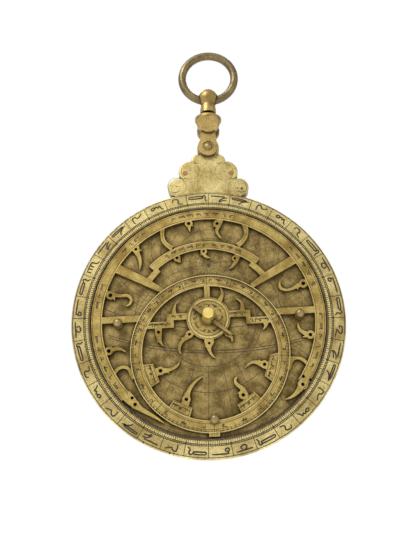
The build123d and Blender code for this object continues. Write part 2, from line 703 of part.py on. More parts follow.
# Pole pin: a domed head behind the alidade, and a slot for the wedge in front of the rete
pin_rear = pin_head_seat - pin_head_height
wedge_length = wedge_head_reach + wedge_tip_reach
wedge_slope = (wedge_head_depth - wedge_tip_depth) / wedge_length
wedge_depth_at_pin = wedge_head_depth - wedge_slope * (wedge_head_reach - pin_radius)
slot_rear = wedge_seat - face_clearance / 2
slot_front = slot_rear + wedge_depth_at_pin + face_clearance
pin_dome_radius, pin_dome_rise = dome_point(pin_head_radius, pin_head_height)

with BuildPart() as pole_pin:
    with BuildSketch(Plane(origin=(0, 0, pole_z), x_dir=(1, 0, 0), z_dir=(0, 0, 1))):
        with BuildLine():
            Line((0, -pin_rear), (0, -pin_end))
            Polyline(
                (0, -pin_end),
                (pin_end_radius - pin_end_bevel, -pin_end),
                (pin_end_radius, -pin_end + pin_end_bevel),
                (pin_end_radius, -slot_front),
                (pin_radius, -slot_front),
                (pin_radius, -pin_head_seat),
                (pin_head_radius, -pin_head_seat),
            )
            ThreePointArc(
                (pin_head_radius, -pin_head_seat),
                (pin_dome_radius, -pin_head_seat + pin_dome_rise),
                (0, -pin_rear),
            )
        make_face()
    revolve(axis=Axis((0, 0, pole_z), (0, 1, 0)))
    with BuildSketch(facing(pole_z, wedge_angle, slot_rear)):
        Rectangle(2 * pin_head_radius, wedge_width + 2 * face_clearance)
    extrude(amount=slot_front - slot_rear, mode=Mode.SUBTRACT)
pole_pin.part.label = "pole_pin"
export_step(pole_pin.part, "parts/pole_pin.step")

# Horse wedge: it tapers in both directions from its head to its tip
with BuildPart() as horse_wedge:
    with BuildSketch(facing(pole_z, wedge_angle, wedge_seat)):
        add(straight(
            (-wedge_head_reach, -wedge_width / 2), (pin_radius, -wedge_width / 2),
            (wedge_tip_reach, -wedge_tip_width / 2), (wedge_tip_reach, wedge_tip_width / 2),
            (pin_radius, wedge_width / 2), (-wedge_head_reach, wedge_width / 2),
        ))
    extrude(amount=wedge_head_depth)
    wedge_side = Plane(
        origin=(0, -wedge_seat, pole_z),
        x_dir=(cos(radians(wedge_angle)), 0, sin(radians(wedge_angle))),
        z_dir=(-sin(radians(wedge_angle)), 0, cos(radians(wedge_angle))),
    )
    with BuildSketch(wedge_side):
        add(straight(
            (-wedge_head_reach, -wedge_head_depth), (wedge_tip_reach, -wedge_tip_depth),
            (wedge_tip_reach, -wedge_head_depth),
        ))
    extrude(amount=wedge_width, both=True, mode=Mode.SUBTRACT)
horse_wedge.part.label = "horse_wedge"
export_step(horse_wedge.part, "parts/horse_wedge.step")

# Alidade: a straight rule whose ends are cut back to the middle line, on opposite sides
with BuildPart() as alidade:
    with BuildSketch(facing(pole_z, alidade_angle, alidade_back)):
        Circle(alidade_hub_radius)
        for end in (1, -1):
            add(straight(
                (0, -end * alidade_width / 2), (end * alidade_shoulder, -end * alidade_width / 2),
                (end * alidade_reach, 0), (end * alidade_shoulder, 0),
                (end * alidade_shoulder, end * alidade_width / 2), (0, end * alidade_width / 2),
            ))
        Circle(pin_radius + running_clearance, mode=Mode.SUBTRACT)
        with Locations((vane_distance, 0), (-vane_distance, 0)):
            Rectangle(vane_thickness + 2 * riveted_clearance, vane_tenon_width + 2 * riveted_clearance,
                      mode=Mode.SUBTRACT)
    extrude(amount=alidade_thickness)
alidade.part.label = "alidade"
export_step(alidade.part, "parts/alidade.step")

# Sight vanes: upright plates with a large and a fine sight hole, tenoned into the rule
for name, end in (("upper", 1), ("lower", -1)):
    along = Vector(cos(radians(alidade_angle)), 0, sin(radians(alidade_angle)))
    foot = Vector(0, -alidade_back, pole_z) + along * (end * vane_distance)
    across = Vector(along.Z, 0, -along.X)
    with BuildPart() as sight_vane:
        with BuildSketch(Plane(foot, x_dir=across, z_dir=along)):
            with BuildLine():
                half = vane_width / 2
                round_start = vane_height - half * 0.7
                Polyline((-half, round_start), (-half, 0), (half, 0), (half, round_start))
                ThreePointArc((half, round_start), (0, vane_height), (-half, round_start))
            make_face()
            with Locations((0, -alidade_thickness / 2)):
                Rectangle(vane_tenon_width, alidade_thickness)
            with Locations((0, sight_hole_height)):
                Circle(sight_hole_radius, mode=Mode.SUBTRACT)
            with Locations((0, pin_sight_height)):
                Circle(pin_sight_radius, mode=Mode.SUBTRACT)
        extrude(amount=vane_thickness / 2, both=True)
    sight_vane.part.label = f"sight_vane_{name}"
    export_step(sight_vane.part, f"parts/sight_vane_{name}.step")
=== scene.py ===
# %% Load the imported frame
import json
from math import cos, pi, radians, sin, tan

import bmesh
import bpy
import numpy as np
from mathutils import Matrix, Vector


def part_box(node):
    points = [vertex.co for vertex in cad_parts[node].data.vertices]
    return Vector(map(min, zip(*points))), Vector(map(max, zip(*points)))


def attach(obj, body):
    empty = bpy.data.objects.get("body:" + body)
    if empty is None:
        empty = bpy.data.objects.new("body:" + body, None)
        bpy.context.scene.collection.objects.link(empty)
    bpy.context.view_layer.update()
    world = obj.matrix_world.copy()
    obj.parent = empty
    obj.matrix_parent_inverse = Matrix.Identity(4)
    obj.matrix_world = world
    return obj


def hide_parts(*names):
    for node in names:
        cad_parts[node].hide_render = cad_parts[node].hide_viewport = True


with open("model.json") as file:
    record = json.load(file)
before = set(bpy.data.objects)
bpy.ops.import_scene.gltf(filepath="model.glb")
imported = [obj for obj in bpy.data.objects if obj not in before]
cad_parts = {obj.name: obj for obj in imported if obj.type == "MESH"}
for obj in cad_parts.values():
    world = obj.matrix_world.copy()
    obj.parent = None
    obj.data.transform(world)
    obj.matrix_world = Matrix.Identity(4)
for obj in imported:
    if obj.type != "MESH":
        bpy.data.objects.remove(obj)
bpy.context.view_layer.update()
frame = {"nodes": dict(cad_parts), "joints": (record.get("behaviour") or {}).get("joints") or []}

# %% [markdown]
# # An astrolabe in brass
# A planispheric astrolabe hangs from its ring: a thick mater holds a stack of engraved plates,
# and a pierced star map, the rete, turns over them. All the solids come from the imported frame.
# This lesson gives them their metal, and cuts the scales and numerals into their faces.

MM = 0.001

rete_joint = next(joint for joint in frame["joints"] if joint["name"] == "rete_turn")
pole_z = rete_joint["pos_m"][2] / MM
limb_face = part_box("limb")[0].y / MM
limb_radius = (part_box("limb")[1].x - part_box("limb")[0].x) / MM / 2
plate_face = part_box("climate_plate_4")[0].y / MM
rete_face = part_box("rete")[0].y / MM
back_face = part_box("mater_back")[1].y / MM
alidade_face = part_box("alidade")[1].y / MM
rete_turned = radians(2.9)
print(f"pole at z {pole_z:.1f} mm, limb {limb_radius:.1f} mm in radius")

# %% [markdown]
# ## The camera
# The photograph was taken from a little below the instrument's middle, looking up at it by 18 degrees.
# The place, the tilt and the lens below come from matching the mater's circles and the ring to it.

# %% Camera
camera_place = (3.5, -407.45, -280.8)
looks_up = 17.92
looks_left = 0.774
camera_data = bpy.data.cameras.new("camera")
camera_data.sensor_width = 36.0
camera_data.lens = 47.03
camera = bpy.data.objects.new("camera", camera_data)
camera.location = [value * MM for value in camera_place]
camera.rotation_euler = (radians(90 + looks_up), 0, radians(looks_left))
bpy.context.scene.collection.objects.link(camera)
bpy.context.scene.camera = camera
bpy.context.scene.view_settings.view_transform = "Standard"
print(f"camera at {camera_place} mm, looking up by {looks_up} degrees")

# %% [markdown]
# ## Light and ground
# Metal shows what stands around it. Here that is a white room: the background is white to the camera
# and in every reflection. Dull surfaces get a weaker light from it, more from above than from below,
# and three large soft lamps give the faces their slow change of tone. The floor lies far below the
# hanging instrument. A glow of its own makes it plain white, so bright that no shadow shows on it.


# %% Node helpers
def hex_colour(text):
    """Linear colour from an sRGB hex value such as c9b26f."""
    channels = np.array([int(text[i:i + 2], 16) for i in (0, 2, 4)]) / 255
    linear = np.where(channels <= 0.04045, channels / 12.92, ((channels + 0.055) / 1.055) ** 2.4)
    return (*linear.tolist(), 1.0)


def add(tree, kind, links=(), **settings):
    """Adds one node, sets its attributes and inputs, and links (input, output) pairs into it."""
    node = tree.nodes.new(kind)
    for name, value in settings.items():
        if hasattr(node, name):
            setattr(node, name, value)
        else:
            node.inputs[name.replace("_", " ")].default_value = value
    for target, source in links:
        tree.links.new(source, node.inputs[target])
    return node


# %% White room
def background_rays(tree):
    """One for a ray from the camera, in a reflection or through glass, and nought for any other."""
    ray = add(tree, "ShaderNodeLightPath")
    seen = ray.outputs["Is Camera Ray"]
    for kind in ("Is Glossy Ray", "Is Transmission Ray"):
        larger = add(tree, "ShaderNodeMath", [(0, seen), (1, ray.outputs[kind])], operation="MAXIMUM")
        seen = larger.outputs[0]
    return seen


fill_below, fill_above = 0.1, 0.75
world = bpy.data.worlds.new("white room")
bpy.context.scene.world = world
world.use_nodes = True
room = world.node_tree
room.nodes.clear()
towards = add(room, "ShaderNodeSeparateXYZ", [(0, add(room, "ShaderNodeTexCoord").outputs["Generated"])])
fill = add(room, "ShaderNodeMapRange", [("Value", towards.outputs["Z"])], From_Min=-0.6, From_Max=0.8,
           To_Min=fill_below, To_Max=fill_above)
soft_fill = add(room, "ShaderNodeBackground", [("Strength", fill.outputs[0])], Color=(1, 1, 1, 1))
white_wall = add(room, "ShaderNodeBackground", Color=(1, 1, 1, 1), Strength=1.0)
room_light = add(room, "ShaderNodeMixShader",
                 [(0, background_rays(room)), (1, soft_fill.outputs[0]), (2, white_wall.outputs[0])])
add(room, "ShaderNodeOutputWorld", [("Surface", room_light.outputs[0])])
print(f"white room: fill on dull surfaces from {fill_below} below to {fill_above} above")


# %% Lamps
def soft_lamp(name, place, aim, width, height, watts):
    """Rectangular area lamp at a place, turned towards a point, both in millimetres."""
    data = bpy.data.lights.new(name, "AREA")
    data.shape = "RECTANGLE"
    data.size = width * MM
    data.size_y = height * MM
    data.energy = watts
    lamp = bpy.data.objects.new(name, data)
    lamp.location = [value * MM for value in place]
    way = np.array(aim, float) - np.array(place, float)
    flat = np.hypot(way[0], way[1])
    lamp.rotation_euler = (pi / 2 + np.arctan2(way[2], flat), 0, np.arctan2(way[1], way[0]) - pi / 2)
    bpy.context.scene.collection.objects.link(lamp)
    print(f"{name}: {watts} W, {width} by {height} mm")


soft_lamp("key lamp", place=(-420, -520, 560), aim=(0, 0, -150), width=420, height=420, watts=9.0)
soft_lamp("fill lamp", place=(620, -560, 60), aim=(0, 0, -150), width=500, height=500, watts=1.2)
soft_lamp("rim lamp", place=(0, 500, 500), aim=(0, 0, -100), width=500, height=300, watts=3.0)

# %% Floor
floor_z = -0.36
floor_half = 4
floor_corners = [(x * floor_half, y * floor_half, floor_z) for x, y in ((-1, -1), (1, -1), (1, 1), (-1, 1))]
floor_mesh = bpy.data.meshes.new("floor")
floor_mesh.from_pydata(floor_corners, [], [(0, 1, 2, 3)])
floor = bpy.data.objects.new("floor", floor_mesh)
bpy.context.scene.collection.objects.link(floor)

# Matt paper has no gleam, so the eye sees an even pale ground
paper = bpy.data.materials.new("white paper sweep")
paper.use_nodes = True
sheet = paper.node_tree
sheet.nodes.clear()
matt = add(sheet, "ShaderNodeBsdfDiffuse", Color=hex_colour("f4f4f2"))
glow = add(sheet, "ShaderNodeEmission", Color=(1, 1, 1, 1), Strength=0.68)
lifted = add(sheet, "ShaderNodeAddShader", [(0, matt.outputs[0]), (1, glow.outputs[0])])
shown = add(sheet, "ShaderNodeMixShader",
            [(0, background_rays(sheet)), (1, matt.outputs[0]), (2, lifted.outputs[0])])
add(sheet, "ShaderNodeOutputMaterial", [("Surface", shown.outputs[0])])
floor_mesh.materials.append(paper)
print(f"floor at z {floor_z} m")

# %% [markdown]
# ## Old brass
# Brass this old is rubbed bright where hands touch it, and brown where they don't. Each finish below is
# the same metal in another state, so one function builds them all: cloudy patches of two tones some
# centimetres across, a fine mottle under a millimetre, long wiping scratches, a few dark pits,
# and painted shade in corners and between pieces, partly real grime. Roughness and bump follow the same
# patterns.


# %% Brass finishes
# The grime and corner arguments set the painted shade in corners, partly real grime: how dark, and how far
# out
def worn_brass(name, pale, mid, dark, patch=14.0, mottle=0.7, rough=0.36, spread=0.14, scratch=0.5,
               pits=0.35, grime=0.95, corner=3.2, metallic=0.78):
    """Brass worn by handling. Tones are sRGB hex; patch, mottle and corner are in millimetres, and so
    are the streaks and pits. Sockets 6, 7 and output 2 are the colours of a Mix node."""
    streak_size, pit_spacing, pit_area = 26, 2.6, 9
    material = bpy.data.materials.new(name)
    material.use_nodes = True
    tree = material.node_tree
    tree.nodes.clear()
    place = add(tree, "ShaderNodeTexCoord").outputs["Object"]
    clouds = add(tree, "ShaderNodeTexNoise", [("Vector", place)], Scale=1 / (patch * MM),
                 Detail=5.0, Roughness=0.62)
    tone = add(tree, "ShaderNodeValToRGB", [("Fac", clouds.outputs["Fac"])])
    tone.color_ramp.elements[0].position = 0.36
    tone.color_ramp.elements[0].color = hex_colour(mid)
    tone.color_ramp.elements[1].position = 0.62
    tone.color_ramp.elements[1].color = hex_colour(pale)
    fine = add(tree, "ShaderNodeTexNoise", [("Vector", place)], Scale=1 / (mottle * MM),
               Detail=4.0, Roughness=0.7)
    fleck = add(tree, "ShaderNodeMapRange", [("Value", fine.outputs["Fac"])],
                From_Min=0.40, From_Max=0.72, To_Min=0.0, To_Max=0.7)
    tarnished = add(tree, "ShaderNodeMix", [("Factor", fleck.outputs[0])], data_type="RGBA")
    tree.links.new(tone.outputs[0], tarnished.inputs[6])
    tarnished.inputs[7].default_value = hex_colour(dark)

    # Scratches: noise stretched 42 and 55 times along two directions, thinned to lines
    lines = []
    for turn, stretch in ((0.5, 42.0), (-0.9, 55.0)):
        laid = add(tree, "ShaderNodeMapping", [("Vector", place)])
        laid.inputs["Rotation"].default_value = (0, turn, 0)
        laid.inputs["Scale"].default_value = (1, stretch, stretch)
        streak = add(tree, "ShaderNodeTexNoise", [("Vector", laid.outputs[0])],
                     Scale=1 / (streak_size * MM), Detail=3.0)
        lines.append(add(tree, "ShaderNodeMapRange", [("Value", streak.outputs["Fac"])],
                         From_Min=0.60, From_Max=0.70, To_Min=0.0, To_Max=1.0))
    scratches = add(tree, "ShaderNodeMath", [(0, lines[0].outputs[0]), (1, lines[1].outputs[0])],
                    operation="MAXIMUM")

    # Pits: the deepest spots of a coarse cell pattern
    cells = add(tree, "ShaderNodeTexVoronoi", [("Vector", place)], Scale=1 / (pit_spacing * MM))
    spot = add(tree, "ShaderNodeMapRange", [("Value", cells.outputs["Distance"])],
               From_Min=0.05, From_Max=0.13, To_Min=1.0, To_Max=0.0)
    where = add(tree, "ShaderNodeTexNoise", [("Vector", place)], Scale=1 / (pit_area * MM), Detail=2.0)
    there = add(tree, "ShaderNodeMapRange", [("Value", where.outputs["Fac"])],
                From_Min=0.52, From_Max=0.62, To_Min=0.0, To_Max=pits)
    pitted = add(tree, "ShaderNodeMath", [(0, spot.outputs[0]), (1, there.outputs[0])], operation="MULTIPLY")

    # Painted shade in the corners between pieces, partly real grime: occlusion darkens the colour to 2e2008
    nook = add(tree, "ShaderNodeAmbientOcclusion", Distance=corner * MM, samples=8)
    corner_shade_and_grime = add(tree, "ShaderNodeMapRange", [("Value", nook.outputs["AO"])],
               From_Min=0.40, From_Max=0.97, To_Min=grime, To_Max=0.0)
    dull = add(tree, "ShaderNodeMath", [(0, corner_shade_and_grime.outputs[0]), (1, pitted.outputs[0])], operation="MAXIMUM")
    colour = add(tree, "ShaderNodeMix", [("Factor", dull.outputs[0]), (6, tarnished.outputs[2])],
                 data_type="RGBA")
    colour.inputs[7].default_value = hex_colour("2e2008")

    gloss = add(tree, "ShaderNodeMapRange", [("Value", clouds.outputs["Fac"])],
                From_Min=0.35, From_Max=0.65, To_Min=rough + spread, To_Max=rough)
    gloss = add(tree, "ShaderNodeMath", [(0, dull.outputs[0]), (2, gloss.outputs[0])],
                operation="MULTIPLY_ADD")
    gloss.inputs[1].default_value = 0.35
    height = add(tree, "ShaderNodeMath", [(0, scratches.outputs[0]), (2, fine.outputs["Fac"])],
                 operation="MULTIPLY_ADD")
    height.inputs[1].default_value = -scratch
    relief = add(tree, "ShaderNodeBump", [("Height", height.outputs[0])], Strength=0.35, Distance=0.06 * MM)
    looks = [("Base Color", colour.outputs[2]), ("Roughness", gloss.outputs[0]),
             ("Normal", relief.outputs[0])]
    metal = add(tree, "ShaderNodeBsdfPrincipled", looks, Metallic=metallic)
    add(tree, "ShaderNodeOutputMaterial", [("Surface", metal.outputs[0])])
    return material


# Scraped flat and rubbed by many hands: pale and even, darker only in its hollows, where shade and some grime
# are painted
limb_brass = worn_brass("scraped brass rubbed pale", "d0bf81", "94804a", "4d3d18")
# Sheet sawn and filed by hand: golden, with cloudy patches the size of a finger tip
rete_brass = worn_brass("sawn sheet brass golden", "bea660", "816a30", "3b2c0c", patch=11)
# Hammered sheet that lies covered: dull olive brown, so that the rete stands out before it
plate_brass = worn_brass("hammered sheet brass olive brown", "97824e", "625026", "2c200a", patch=7, rough=0.5)
# Wire drawn through a plate and bent: grey brown tarnish with a narrow gleam along it
ring_brass = worn_brass("drawn brass wire tarnished", "7a6b4a", "605135", "3b301c", patch=8, rough=0.38)
# Cast and left with its brown skin: warm, and bright only in small patches
shackle_brass = worn_brass("cast brass browned", "b1975b", "836d3c", "48371a", patch=9, rough=0.36)
# Turned on a lathe and handled most: the one bright yellow spot, almost without pits
pin_brass = worn_brass("turned brass bright yellow", "e0ce81", "cdb560", "a48744", patch=6, pits=0.1)
# Turned and then dulled by thumbs: olive, darker than the rete under it
knob_brass = worn_brass("turned brass olive", "9a8755", "7a6840", "4c3f21", patch=5)
# Edges filed, with a painted highlight: thin pale lines round the darker faces
painted_highlight_brass = worn_brass("brass with painted edge highlights", "d9c888", "bca560", "816932", patch=12,
                        rough=0.3, grime=0.6)
# Copper hammered flush with the brass: a redder, darker spot
rivet_copper = worn_brass("copper rivet hammered flush", "a27e49", "876337", "5f4220", patch=5)

finishes = {
    "suspension_ring": ring_brass, "swivel_eye": shackle_brass, "swivel_washer": ring_brass,
    "shackle": shackle_brass, "shackle_rivet": knob_brass, "mater_back": limb_brass, "limb": limb_brass,
    "throne_rivets": rivet_copper, "rete": rete_brass, "pole_pin": pin_brass, "horse_wedge": shackle_brass,
    "alidade": rete_brass, "sight_vane_upper": limb_brass, "sight_vane_lower": limb_brass,
    "rete_knob_left": knob_brass, "rete_knob_right": knob_brass, "rete_knob_bottom": knob_brass,
}
for number in range(1, 5):
    finishes[f"climate_plate_{number}"] = plate_brass
for node, finish in finishes.items():
    mesh = frame["nodes"][node].data
    mesh.materials.clear()
    mesh.materials.append(finish)
print(f"{len(finishes)} solids have a finish")

# %% [markdown]
# ## Cutting lines
# A graver leaves a narrow groove, and centuries of dirt and old wax fill it nearly flush. What the eye
# sees is a dark line with a slight gleam, so each cut is a low bead of dark filling that stands three
# hundredths of a millimetre proud: a flat-topped profile carried along the path of the cut.


# %% Cut lines from arrays of paths
def bead(paths, width, lift=0.03, sunk=0.02):
    """Paths (k, n, 2) in millimetres. At each point the left normal of the path times the half width
    gives four points across it: foot, shoulder, shoulder, foot. Returns points (k, n, 4, 3) and faces."""
    paths = np.asarray(paths, float)
    along = np.gradient(paths, axis=1)
    along /= np.maximum(np.linalg.norm(along, axis=2, keepdims=True), 1e-9)
    left = np.stack([-along[..., 1], along[..., 0]], axis=2)
    half = np.broadcast_to(np.asarray(width, float) / 2, paths.shape[:2])
    across = np.array([-1.0, -0.6, 0.6, 1.0])
    rise = np.array([-sunk, lift, lift, -sunk])
    flat = paths[:, :, None, :] + left[:, :, None, :] * (half[:, :, None] * across)[..., None]
    points = np.concatenate([flat, np.broadcast_to(rise[:, None], flat.shape[:3] + (1,))], axis=3)
    k, n = paths.shape[:2]
    number = np.arange(k * n * 4).reshape(k, n, 4)
    here, ahead = number[:, :-1], number[:, 1:]
    sides = np.stack([here, ahead, np.roll(ahead, -1, 2), np.roll(here, -1, 2)], axis=-1).reshape(-1, 4)
    ends = np.concatenate([number[:, 0], number[:, -1, ::-1]])
    return points.reshape(-1, 3), np.concatenate([sides, ends])


def cut(name, beads, face, body, finish, back=False, turned=0.0):
    """Joins beads into one piece on a flat face. Across and up are seen from outside the face,
    so on the back the x of every point is turned round. Turned is in radians, anticlockwise."""
    points = np.concatenate([p for p, f in beads])
    starts = np.cumsum([0] + [len(p) for p, f in beads[:-1]])
    faces = np.concatenate([f + start for (p, f), start in zip(beads, starts)])
    across = points[:, 0] * cos(turned) - points[:, 1] * sin(turned)
    up = points[:, 0] * sin(turned) + points[:, 1] * cos(turned)
    side = -1.0 if back else 1.0
    placed = np.stack([side * across, face - side * points[:, 2], pole_z + up], axis=1) * MM
    mesh = bpy.data.meshes.new(name)
    mesh.from_pydata(placed.tolist(), [], faces.tolist())
    mesh.materials.append(finish)
    piece = bpy.data.objects.new(name, mesh)
    bpy.context.scene.collection.objects.link(piece)
    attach(piece, body)
    print(f"{name}: {len(faces)} faces")


def arcs(radii, start=0.0, end=360.0, centre=(0.0, 0.0), steps=180):
    """Circular paths about a centre, angles in degrees anticlockwise from the right."""
    angle = np.radians(np.linspace(start, end, steps))
    radii = np.atleast_1d(np.asarray(radii, float))[:, None]
    return np.stack([centre[0] + radii * np.cos(angle), centre[1] + radii * np.sin(angle)], axis=2)


def spokes(angles, inner, outer, centre=(0.0, 0.0)):
    """Straight radial paths at clockwise angles from the top, in degrees, between two radii."""
    angle = np.radians(np.atleast_1d(np.asarray(angles, float)))
    way = np.stack([np.sin(angle), np.cos(angle)], axis=1)
    reach = np.stack([np.broadcast_to(inner, angle.shape), np.broadcast_to(outer, angle.shape)], axis=1)
    return np.asarray(centre) + way[:, None, :] * reach[..., None]


def rounded(corners, steps=14):
    """Catmull-Rom curve through the corners: each span is the cubic whose end slopes are half the
    chord between its neighbours. Returns one path (1, n, 2)."""
    held = np.asarray(corners, float)
    held = np.concatenate([2 * held[:1] - held[1:2], held, 2 * held[-1:] - held[-2:-1]])
    a, b, c, d = held[:-3, None], held[1:-2, None], held[2:-1, None], held[3:, None]
    t = np.linspace(0, 1, steps, endpoint=False)[None, :, None]
    curve = b + 0.5 * t * (c - a + t * (2 * a - 5 * b + 4 * c - d + t * (3 * (b - c) + d - a)))
    return np.concatenate([curve.reshape(-1, held.shape[1]), held[-2:-1]])[None]


def pen(n, width, thin=0.35):
    """Width of a graver's stroke along n points: it starts and ends thin and swells between."""
    return width * (thin + (1 - thin) * np.sin(np.linspace(0.12, 0.9, n) * pi))


def dots(centres, radius, steps=14):
    """Round punch marks: a bead as wide as the radius, led round a circle of 0.54 times that radius,
    which leaves no more than a pinprick open in the middle."""
    ring = arcs(radius * 0.54, steps=steps)
    return np.asarray(centres, float)[:, None, :] + ring


# %% Finishes for the cuts
def cut_filling(name, colour, clump_size=0.5, roughness=0.62, metallic=0.25):
    """Wax, dust and tarnish in the cuts: nearly matt and dark, so a cut reads as a line drawn in ink.
    The clumps are half a millimetre across."""
    material = bpy.data.materials.new(name)
    material.use_nodes = True
    tree = material.node_tree
    tree.nodes.clear()
    place = add(tree, "ShaderNodeTexCoord").outputs["Object"]
    clump = add(tree, "ShaderNodeTexNoise", [("Vector", place)], Scale=1 / (clump_size * MM), Detail=3.0)
    tone = add(tree, "ShaderNodeValToRGB", [("Fac", clump.outputs["Fac"])])
    tone.color_ramp.elements[0].position = 0.35
    tone.color_ramp.elements[0].color = hex_colour(colour)
    tone.color_ramp.elements[1].position = 0.75
    tone.color_ramp.elements[1].color = hex_colour("3c2b10")
    skin = add(tree, "ShaderNodeBsdfPrincipled", [("Base Color", tone.outputs[0])],
               Metallic=metallic, Roughness=roughness)
    add(tree, "ShaderNodeOutputMaterial", [("Surface", skin.outputs[0])])
    return material


dark_cut = cut_filling("old wax and grime in the cuts", "211504")
faint_cut = cut_filling("thin tarnish in worn cuts", "2c1e0a")
print(f"{dark_cut.name}; {faint_cut.name}")

# %% [markdown]
# ## The limb's scale
# The limb is divided into 36 cells of ten degrees, each with its number, over a band of degree strokes.
# The numbers are plain tens, and each ten has a sign of its own, as letter numerals have.
# One sign is a few strokes in its cell: degrees across, and millimetres up from the cell's inner edge.

# %% Signs of the tens
tens = {
    10: [[(1.2, 4.7), (4.5, 4.5), (7.6, 4.6)],
         [(8.6, 4.0), (6.9, 3.5), (5.5, 2.2), (5.3, 1.0), (6.6, 1.9), (8.5, 2.3)]],
    20: [[(1.2, 4.9), (6.9, 4.8), (7.0, 4.0), (1.5, 3.9), (1.2, 4.9)],
         [(8.7, 4.4), (6.5, 3.6), (5.2, 2.4), (4.7, 1.2)]],
    30: [[(3.2, 1.1), (3.1, 3.2), (3.5, 4.9), (4.8, 4.7), (5.4, 3.5), (6.6, 3.7), (8.0, 4.8)]],
    40: [[(3.9, 4.6), (3.0, 4.0), (3.3, 3.1), (4.3, 3.2), (4.6, 4.2), (3.9, 4.6)],
         [(4.5, 3.3), (5.4, 4.4), (6.1, 3.4), (6.9, 4.2), (7.4, 2.6), (8.3, 1.2)]],
    50: [[(3.2, 3.4), (3.7, 4.9), (5.3, 4.9), (6.1, 3.9), (5.7, 2.6), (6.3, 1.5), (7.8, 1.2)]],
    60: [[(1.2, 4.3), (6.9, 4.5), (7.0, 3.3), (1.5, 3.1), (1.2, 4.3)],
         [(7.0, 4.4), (8.1, 5.0), (8.7, 4.2), (8.5, 2.6), (9.2, 1.1)]],
    70: [[(1.4, 4.6), (5.0, 4.6), (8.5, 4.9)],
         [(5.2, 4.5), (4.0, 3.6), (4.0, 2.2), (5.4, 1.8), (6.4, 2.8), (5.8, 4.0)]],
    80: [[(1.5, 4.7), (5.0, 4.6), (8.6, 4.6)],
         [(2.2, 4.5), (1.4, 3.2), (1.5, 1.9), (2.6, 2.0), (2.9, 3.1), (1.8, 3.4)]],
    90: [[(1.2, 4.7), (5.8, 4.7), (5.8, 3.5), (1.2, 3.4), (1.2, 4.7)],
         [(6.5, 4.6), (7.6, 5.1), (8.1, 4.0), (7.8, 2.4), (8.9, 1.1)]],
    100: [[(5.0, 3.4), (3.9, 3.1), (3.8, 4.3), (5.0, 5.0), (6.6, 4.8), (6.9, 3.6), (5.4, 2.0),
           (6.6, 1.6), (8.8, 1.1)]],
    300: [[(1.6, 4.6), (1.9, 2.4)],
          [(1.6, 4.8), (6.0, 4.9), (6.6, 3.4), (7.0, 1.8), (8.3, 1.1)],
          [(3.2, 4.7), (3.4, 2.4)], [(4.7, 4.8), (4.9, 2.4)]],
}
order = [10, 20, 30, 40, 50, 60, 70, 80, 90, 100, 10, 20, 30, 40, 50, 60, 70, 80,
         90, 30, 10, 20, 30, 40, 50, 60, 70, 80, 90, 300, 10, 20, 30, 40, 50, 60]

cell_inner = 72.7
cell_outer = 79.0
print(f"{len(tens)} signs for {len(order)} cells")


def on_limb(across_up, cell):
    """Turns degrees across a cell and millimetres up into x and y from the pole."""
    angle = np.radians(cell * 10 + across_up[..., 0])
    reach = cell_inner + across_up[..., 1]
    return np.stack([reach * np.sin(angle), reach * np.cos(angle)], axis=-1)


# %% Limb engraving
# Radii in millimetres: the painted shadow of the gap at the inner edge, the degree strokes, the close strokes
# outside them
painted_gap_shadow = 69.35
stroke_foot, stroke_short, stroke_long = 69.9, 71.2, 71.7
hatch_inner, hatch_outer = 71.75, 72.65
degree = np.arange(360)
fifth = degree % 5 == 0
pit_angles, pit_radii = [194.0, 195.6, 207.0, 206.2], [79.0, 79.3, 79.2, 74.6]

limb_cuts = []
for cell, ten in enumerate(order):
    for stroke in tens[ten]:
        path = on_limb(rounded(stroke, 6), cell)
        limb_cuts.append(bead(path, pen(path.shape[1], 1.12, 0.65)))
limb_cuts.append(bead(arcs([cell_outer, cell_inner, stroke_long], steps=360), 0.5))
limb_cuts.append(bead(arcs([stroke_foot], steps=360), 0.36))
# A dark ring at the limb's inner edge: painted shadow of the gap round the rete
limb_cuts.append(bead(arcs([painted_gap_shadow], steps=360), 0.7))
limb_cuts.append(bead(spokes(np.arange(0, 360, 10), stroke_long, cell_outer), 0.5))
limb_cuts.append(bead(spokes(degree, stroke_foot, np.where(fifth, stroke_long, stroke_short)),
                      np.where(fifth, 0.6, 0.44)[:, None]))
limb_cuts.append(bead(spokes(np.arange(0, 360, 0.8), hatch_inner, hatch_outer), 0.62))
limb_cuts.append(bead(dots(spokes(pit_angles, 0, pit_radii)[:, 1], 0.55), 0.55))
cut("limb_engraving", limb_cuts, limb_face, "mater", dark_cut)

# The degree strokes stand on a strip of paler brass: a painted highlight along the limb's inner edge
strip_middle, strip_width = 70.8, 2.2
painted_highlight_strip = [bead(arcs([strip_middle], steps=360), strip_width, lift=0.012)]
cut("limb_painted_highlight_strip", painted_highlight_strip, limb_face, "mater", painted_highlight_brass)

# %% [markdown]
# ## The throne
# The throne's lobes carry a scribed circle each, with the prick of the compass left in its middle.
# Small curls at the notches were cut with the same graver as the numbers.

# %% Throne engraving
lobe_marks = [(-19.3, 84.0), (18.0, 82.7), (-11.2, 94.6), (9.9, 93.7)]
lobe_circle = 5.7
throne_cuts = [bead(arcs(lobe_circle, centre=mark, steps=60), 0.2) for mark in lobe_marks]
throne_cuts.append(bead(dots(lobe_marks, 0.42), 0.42))
throne_cuts.append(bead(dots([(20.7, 82.3)], 0.8), 0.8))
throne_cuts.append(bead(arcs([79.7], 74.5, 105.5), 0.24))
curls = [
    [(23.0, 80.4), (20.0, 79.9), (17.4, 81.0)],
    [(17.8, 90.2), (15.6, 89.0), (13.6, 89.6)],
    [(8.8, 100.9), (7.2, 99.6), (5.2, 100.0)],
]
for side in (1, -1):
    for curl in curls:
        path = rounded(curl) * (side, 1)
        throne_cuts.append(bead(path, pen(path.shape[1], 0.55)))
throne_cuts.append(bead(np.array([[(-6.5, 83.0), (-6.45, 90.0), (-6.4, 98.5)]]), 0.14))
cut("throne_engraving", throne_cuts, limb_face, "mater", dark_cut)

